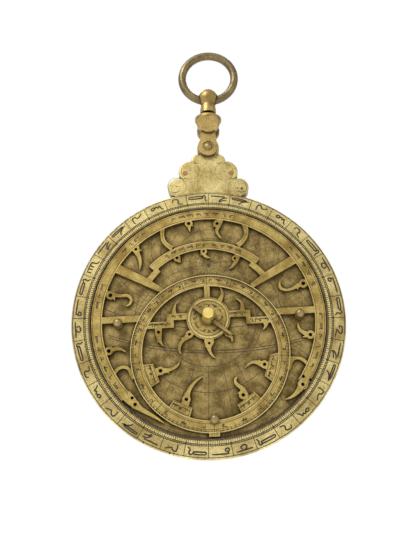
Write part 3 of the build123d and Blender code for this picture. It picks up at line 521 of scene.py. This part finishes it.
# %% [markdown]
# ## The top plate
# A climate plate is the map of one latitude: two tropics, the equator, and circles of equal height
# above the horizon. On the sky's stereographic map, the circle of height h at latitude p has its centre
# at cos p / (sin p + sin h) and its radius at cos h / (sin p + sin h), both times the equator's radius.

# %% Plate engraving
equator = 43.0
latitude = radians(15.0)
sun_tilt = 23.55
tropic_ratio = tan(radians(45 + sun_tilt / 2))
plate_edge = equator * tropic_ratio
print(f"equator {equator} mm, tropics {equator / tropic_ratio:.1f} and {plate_edge:.1f} mm in radius")


def runs(path, inside):
    """Parts of one path where inside is true, as paths of their own."""
    edges = np.flatnonzero(np.diff(np.concatenate([[0], inside.astype(int), [0]])))
    return [path[:, a:b] for a, b in zip(edges[::2], edges[1::2]) if b - a > 3]


plate_cuts = [
    bead(arcs([equator, equator / tropic_ratio], steps=220), 0.4),
    bead(arcs([plate_edge], steps=300), 0.34),
    # The wide dark ring at 68.5 mm is a painted shadow: the deep gap between the rete and the limb
    bead(arcs([68.5], steps=300), 0.9),
    bead(arcs([equator / tropic_ratio + 3.0], 190, 350, steps=120), 0.24),
]
for height in range(0, 90, 6):
    below = sin(latitude) + sin(radians(height))
    centre_up = equator * cos(latitude) / below
    reach = equator * cos(radians(height)) / below
    path = arcs([reach], -269, 90, centre=(0, centre_up), steps=361)
    inside = np.hypot(path[0, :, 0], path[0, :, 1]) < plate_edge
    width = 0.5 if height == 0 else 0.22
    plate_cuts += [bead(run, width) for run in runs(path, inside)]

# Circles of equal bearing pass through the zenith and start at the horizon
horizon_up = equator * cos(latitude) / sin(latitude)
for bearing in range(-80, 90, 20):
    lean = radians(bearing)
    centre = (equator * tan(lean) / cos(latitude), -equator * tan(latitude))
    path = arcs([equator / (cos(latitude) * cos(lean))], -180, 180, centre=centre, steps=541)
    away = np.hypot(path[0, :, 0], path[0, :, 1])
    over = np.hypot(path[0, :, 0], path[0, :, 1] - horizon_up) < equator / sin(latitude)
    plate_cuts += [bead(run, 0.24) for run in runs(path, (away < plate_edge) & over)]

# Lines of the hours under the horizon, two close curves, and small marks and scratches
for hour in range(-5, 6):
    foot = radians(-90 + 15 * hour)
    ends = [(reach * cos(foot + bend), reach * sin(foot + bend)) for reach, bend in
            ((28.4, 0.02 * hour), (equator, 0.0), (65.0, -0.022 * hour))]
    plate_cuts.append(bead(rounded(ends), 0.28))
for drop in (0.0, 1.5):
    plate_cuts.append(bead(arcs([199.0], -107.5, -74.5, centre=(1.5, 180.2 - drop), steps=90), 0.5))
zigzag = np.stack([np.linspace(0, 8, 17), 1.1 * (np.arange(17) % 2)], axis=1)
plate_cuts.append(bead(zigzag[None] + (-12.0, -20.4), 0.36))
plate_cuts.append(bead(zigzag[None] + (7.0, -19.0), 0.36))
small_circle = (48.5, 25.0)
plate_cuts.append(bead(arcs([4.5], centre=small_circle, steps=48), 0.14))
plate_cuts.append(bead(dots([small_circle], 0.4), 0.4))
upright_lines = np.array([[(41.2, 31.0), (41.3, 36.0), (41.2, 42.0)],
                          [(42.2, 31.5), (42.3, 36.0), (42.4, 42.5)],
                          [(41.4, 10.0), (41.5, 14.0), (41.5, 17.5)]])
plate_cuts.append(bead(upright_lines, 0.3))
level_lines = np.array([[(40.0, 5.4), (50.0, 5.5), (62.0, 5.6)],
                        [(40.0, 6.4), (50.0, 6.4), (62.0, 6.4)]])
plate_cuts.append(bead(level_lines, 0.26))
cut("plate_engraving", plate_cuts, plate_face, "mater", faint_cut)

# %% [markdown]
# ## Scales and numbers on the rete
# The rete's ring stands for the sun's yearly path. On the map its degrees crowd together at the top and
# spread at the foot: a degree at longitude l has declination d, where sin d is sin e times sin l,
# and lies at the equator's radius times tan(45 - d/2) from the pole. Small plain numbers fill the bands.

# %% Rows of small signs
map_unit = 0.683
sun_circle = np.array([0.0, -28.7 * map_unit])
sign_middle = (5.0, 3.1)
sign_wide, sign_high = 4.6, 4.2


def signs(values, centres, headings, tall, pen_width=0.62):
    """One sign at each centre: its strokes are measured from their middle, scaled to be tall
    millimetres high, and laid along a baseline whose heading is in degrees."""
    rows = []
    for value, centre, heading in zip(values, centres, np.radians(headings)):
        right = np.array([np.cos(heading), np.sin(heading)])
        up = np.array([-right[1], right[0]])
        for stroke in tens[value]:
            place = (rounded(stroke, 3) - sign_middle) * (tall / sign_wide, tall / sign_high)
            path = np.asarray(centre) + place[..., :1] * right + place[..., 1:] * up
            rows.append(bead(path, pen(path.shape[1], pen_width, 0.7)))
    return rows


def around(values, radius, first, last, tall, centre=(0.0, 0.0)):
    """Signs on an arc, from one clockwise angle to another, upright seen from the centre."""
    angles = np.linspace(first, last, len(values))
    return signs(values, spokes(angles, 0, radius, centre)[:, 1], -angles, tall)


def along(values, start, end, tall):
    """Signs on a straight line between two points."""
    start, end = np.array(start, float), np.array(end, float)
    share = (np.arange(len(values)) + 0.5) / len(values)
    heading = np.degrees(np.arctan2(end[1] - start[1], end[0] - start[0]))
    return signs(values, start + share[:, None] * (end - start), [heading] * len(values), tall)


# %% Lines and numbers on the rete's bands
band_inner, band_numbers, band_outer = 63.0, 65.3, 67.6
arc_inner, arc_numbers, arc_outer = 43.3, 45.2, 47.1
arc_from, arc_to = 47.5, 134.5

rete_cuts = [bead(arcs([band_inner, band_outer], -41, 221, steps=260), 0.32),
             bead(arcs([arc_inner, arc_outer], arc_from, arc_to, steps=90), 0.3)]
band_rows = [
    ([30, 60, 90, 40, 70, 20, 50, 80], -16, 16),
    ([20, 50, 80, 30], -47, -34),
    ([60, 30, 90], -80, -70),
    ([40, 90, 20, 70, 100], 52, 74),
    ([80, 60, 30, 50, 90, 40], 92, 118),
    ([90, 50, 20, 70, 30, 60], -124, -98),
]
for values, first, last in band_rows:
    rete_cuts += around(values, band_numbers, first, last, 2.2)
rete_cuts += around([50, 20, 90, 60, 30, 80, 40, 70, 20, 60], arc_numbers, -30, 26, 2.1)
print(f"{len(rete_cuts)} beads on the bands")

# %% Degrees and numbers on the sun's circle
# Radii in millimetres from the circle's own middle
sun_outer, degree_foot, ten_foot, number_middle = 45.9, 44.1, 42.9, 42.6
number_foot, sun_inner, twelfth_foot = 41.0, 39.7, 39.5

longitude = np.radians(np.arange(0, 360, 2))
declination = np.arcsin(np.sin(radians(sun_tilt)) * np.sin(longitude))
ascension = np.arctan2(np.cos(radians(sun_tilt)) * np.sin(longitude), np.cos(longitude))
from_pole = equator * np.tan(pi / 4 - declination / 2)
on_map = np.stack([from_pole * np.cos(ascension), from_pole * np.sin(ascension)], axis=1)
on_sun_circle = on_map - sun_circle
sun_angles = np.degrees(np.arctan2(on_sun_circle[:, 0], on_sun_circle[:, 1]))
every_ten = np.arange(180) % 5 == 0
every_twelfth = np.arange(180) % 15 == 0
rete_cuts.append(bead(arcs([sun_outer, degree_foot, number_foot, sun_inner], centre=sun_circle,
                           steps=300), 0.34))
rete_cuts.append(bead(spokes(sun_angles, degree_foot, sun_outer, sun_circle), 0.24))
rete_cuts.append(bead(spokes(sun_angles[every_ten], ten_foot, sun_outer, sun_circle), 0.26))
rete_cuts.append(bead(spokes(sun_angles[every_twelfth], twelfth_foot, sun_outer, sun_circle), 0.4))
for number in range(36):
    first, last = sun_angles[number * 5], sun_angles[(number * 5 + 5) % 180]
    middle = first + ((last - first + 180) % 360 - 180) / 2
    rete_cuts += around([(10, 20, 30)[number % 3]], number_middle, middle, middle, 1.9, centre=sun_circle)
print(f"{len(sun_angles)} strokes, two degrees apart, on the sun's circle")

# %% Numbers at the rete's centre and on its bars
disc_outer, disc_scale, disc_numbers, disc_inner = 12.0, 10.4, 7.7, 4.9
rete_cuts.append(bead(arcs([disc_outer, disc_scale, disc_inner], steps=90), 0.3))
rete_cuts += around([10, 20, 30, 40, 50, 60, 70, 80, 90, 100, 20, 50], disc_numbers, 0, 330, 2.0)
rete_cuts.append(bead(spokes(np.arange(15, 375, 30), 5.0, 10.3), 0.2))
rete_cuts += along([90, 20, 60, 40, 30], (-35.5, -2.6), (-22.2, -2.6), 2.1)
rete_cuts += along([50, 30, 80, 20], (23.5, -2.6), (36.0, -2.6), 2.1)
rete_cuts += along([60, 90, 30], (12.8, 1.9), (22.5, 1.9), 2.1)
rete_cuts += along([40, 70], (-22.5, 1.9), (-14.0, 1.9), 2.0)

# %% Frames and numbers on the four name plates
# Corners are in map units
name_plates = [
    [(-56.8, -37.2), (-50.7, -56.5), (-43.3, -52.0), (-48.3, -36.9)],
    [(-36.6, -73.8), (-19.6, -82.6), (-17.0, -75.0), (-32.2, -67.9)],
    [(20.2, -74.4), (23.4, -81.7), (40.4, -70.6), (34.6, -64.4)],
    [(50.2, -34.0), (44.2, -51.8), (51.5, -57.7), (58.0, -32.8)],
]
frame_size, row_half = 0.84, 0.4
for plate in name_plates:
    corners = np.array(plate) * map_unit
    middle = corners.mean(axis=0)
    frame_line = middle + (corners - middle) * frame_size
    rete_cuts.append(bead(np.stack([frame_line, np.roll(frame_line, -1, 0)], axis=1), 0.34))
    long_way = (corners[1] + corners[2] - corners[0] - corners[3]) / 2
    if abs(corners[1] - corners[0]).sum() < abs(corners[3] - corners[0]).sum():
        long_way = (corners[2] + corners[3] - corners[0] - corners[1]) / 2
    long_way = long_way * np.sign(long_way[0] + 0.2 * long_way[1])
    rete_cuts += along([20, 50, 80, 30], middle - long_way * row_half, middle + long_way * row_half, 2.0)

# %% Index at the foot, grooves of the struts, and the whole engraving
index_lines = np.array([
    [(0, -63.2), (0, -67.4)], [(-2.6, -64.6), (2.6, -64.6)], [(-2.6, -66.2), (2.6, -66.2)],
    [(-1.3, -63.2), (-1.3, -67.4)], [(1.3, -63.2), (1.3, -67.4)], [(0, 13.0), (0, 20.0)],
])
rete_cuts.append(bead(index_lines, 0.26))
struts = [
    [(-24.9, 57.0), (-25.2, 53.0), (-24.3, 49.2), (-22.3, 46.6), (-19.3, 44.4)],
    [(25.0, 57.0), (25.7, 53.3), (24.9, 49.6), (22.9, 46.6), (19.8, 44.2)],
]
rete_cuts += [bead(rounded(strut), 0.24) for strut in struts]
cut("rete_engraving", rete_cuts, rete_face, "rete", dark_cut, turned=rete_turned)

# %% Rims of the rete's rings, filed round, with a painted highlight
# The sun's circle, the outer band, the upper arc, and the raised ring round the pole
rim_highlights = [
    bead(arcs([39.45, 45.75], centre=sun_circle, steps=240), 0.6, lift=0.12),
    bead(arcs([62.45], -38, 218, steps=240), 0.5, lift=0.1),
    bead(arcs([43.0, 47.35], arc_from, arc_to, steps=90), 0.5, lift=0.1),
    bead(arcs([11.3], steps=90), 1.2, lift=0.25),
]
cut("rete_painted_highlight_rims", rim_highlights, rete_face, "rete", painted_highlight_brass, turned=rete_turned)

# %% [markdown]
# ## The back
# The back of an astrolabe carries a scale of heights round its rim, rings for the sun's place and the
# day of the year, and a shadow square for surveying. The photograph doesn't show it, so it is the
# usual one, with lines of sines in one quarter and a few arcs in the next.

# %% Back engraving
# Radii in millimetres: the scale of heights, the sun's place, and the days inside it
height_tip, height_stroke, height_foot = 76.6, 73.6, 69.4
sun_tip, sun_foot, number_edge = 63.0, 61.2, 55.0
day_ring, inmost = 52.6, 50.4

back_cuts = [bead(arcs([height_tip, height_stroke, height_foot, sun_tip, sun_foot, number_edge, day_ring,
                        inmost], steps=300), 0.36)]
back_cuts.append(bead(spokes(degree, height_stroke, np.where(fifth, height_tip, 75.0)), 0.3))
back_cuts.append(bead(spokes(np.arange(0, 360, 10), height_foot, height_stroke), 0.36))
back_cuts.append(bead(spokes(np.arange(0, 360, 2), sun_foot, sun_tip), 0.26))
back_cuts.append(bead(spokes(np.arange(0, 360, 10), number_edge, sun_foot), 0.32))
back_cuts.append(bead(spokes(np.arange(0, 360, 30), inmost, height_foot), 0.42))
for quarter in range(4):
    back_cuts += around([10, 20, 30, 40, 50, 60, 70, 80, 90], 71.5, quarter * 90 + 5, quarter * 90 + 85, 2.7)
for part in range(12):
    back_cuts += around([10, 20, 30], 58.1, part * 30 + 5, part * 30 + 25, 2.6)
print(f"{len(back_cuts)} beads on the rings of the back")

# %% Shadow square, sines and arcs on the back
outer, inner = 34, 29
square = np.array([[(-outer, 0), (-outer, -outer)], [(outer, 0), (outer, -outer)],
                   [(-outer, -outer), (outer, -outer)], [(-inner, 0), (-inner, -inner)],
                   [(inner, 0), (inner, -inner)], [(-inner, -inner), (inner, -inner)],
                   [(0, -inner), (0, -outer)], [(-inmost, 0), (inmost, 0)], [(0, 10), (0, inmost)]], float)
back_cuts.append(bead(square, 0.34))
share = np.linspace(-1, 1, 25)
low_marks = np.stack([np.stack([share * reach, share * 0 - reach], 1) for reach in (inner, outer)], axis=1)
back_cuts.append(bead(low_marks, 0.26))
for side in (1, -1):
    side_marks = np.abs(low_marks[:, :, ::-1]) * (side, -1)
    back_cuts.append(bead(side_marks[:12], 0.26))
sine_radius = 50
rises = radians(6) * np.arange(1, 15)
sines = np.stack([np.stack([-sine_radius * np.cos(rises), sine_radius * np.sin(rises)], 1),
                  np.stack([rises * 0 - 0.6, sine_radius * np.sin(rises)], 1)], axis=1)
back_cuts.append(bead(sines, 0.22))
back_cuts += [bead(arcs([reach], 0, 90, steps=60), 0.24) for reach in (18, 26, 34, 42)]
cut("back_engraving", back_cuts, back_face, "mater", dark_cut, back=True)

# %% Line of sight on the alidade, with short strokes every four millimetres beside it
alidade_turned = radians(-52.0)
stroke_length = 2.0
sight_line = [bead(np.array([[(-56.0, 0), (-10.5, 0)], [(10.5, 0), (56.0, 0)]]), 0.3)]
step = np.concatenate([np.arange(12, 56, 4), -np.arange(12, 56, 4)])
strokes = np.stack([np.stack([step, step * 0 + up], 1) for up in (0.0, stroke_length)], axis=1)
sight_line.append(bead(strokes, 0.26))
cut("alidade_engraving", sight_line, alidade_face, "alidade", dark_cut, back=True,
    turned=alidade_turned)

# %% [markdown]
# ## Filed edges on the rete
# The saw leaves sharp edges, and a file takes them off. A copy of the rete's mesh is merged, its flat
# faces are joined, and a narrow bevel gives every edge a facet in paler brass: a painted highlight.

# %% Rete with filed edges
filed_width = 0.24
same_point, same_plane, sharp_edge = 1e-7, radians(0.4), radians(40)
rete_node = frame["nodes"]["rete"]
filed = bpy.data.meshes.new("rete_filed")
work = bmesh.new()
work.from_mesh(rete_node.data)
bmesh.ops.remove_doubles(work, verts=work.verts, dist=same_point)
bmesh.ops.dissolve_limit(work, angle_limit=same_plane, verts=work.verts, edges=work.edges)
work.to_mesh(filed)
work.free()
filed.materials.clear()
filed.materials.append(rete_brass)
filed.materials.append(painted_highlight_brass)
rete_filed = bpy.data.objects.new("rete_filed", filed)
bpy.context.scene.collection.objects.link(rete_filed)
edge_facet = rete_filed.modifiers.new("filed edge", "BEVEL")
edge_facet.width = filed_width * MM
edge_facet.segments = 2
edge_facet.limit_method = "ANGLE"
edge_facet.angle_limit = sharp_edge
# The bevel's facets take the second material, the paler brass of a painted highlight
edge_facet.material = 1  # painted_highlight_brass, the second of the two
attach(rete_filed, "rete")
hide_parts("rete")
print(f"rete_filed: {len(filed.polygons)} faces before its bevel")
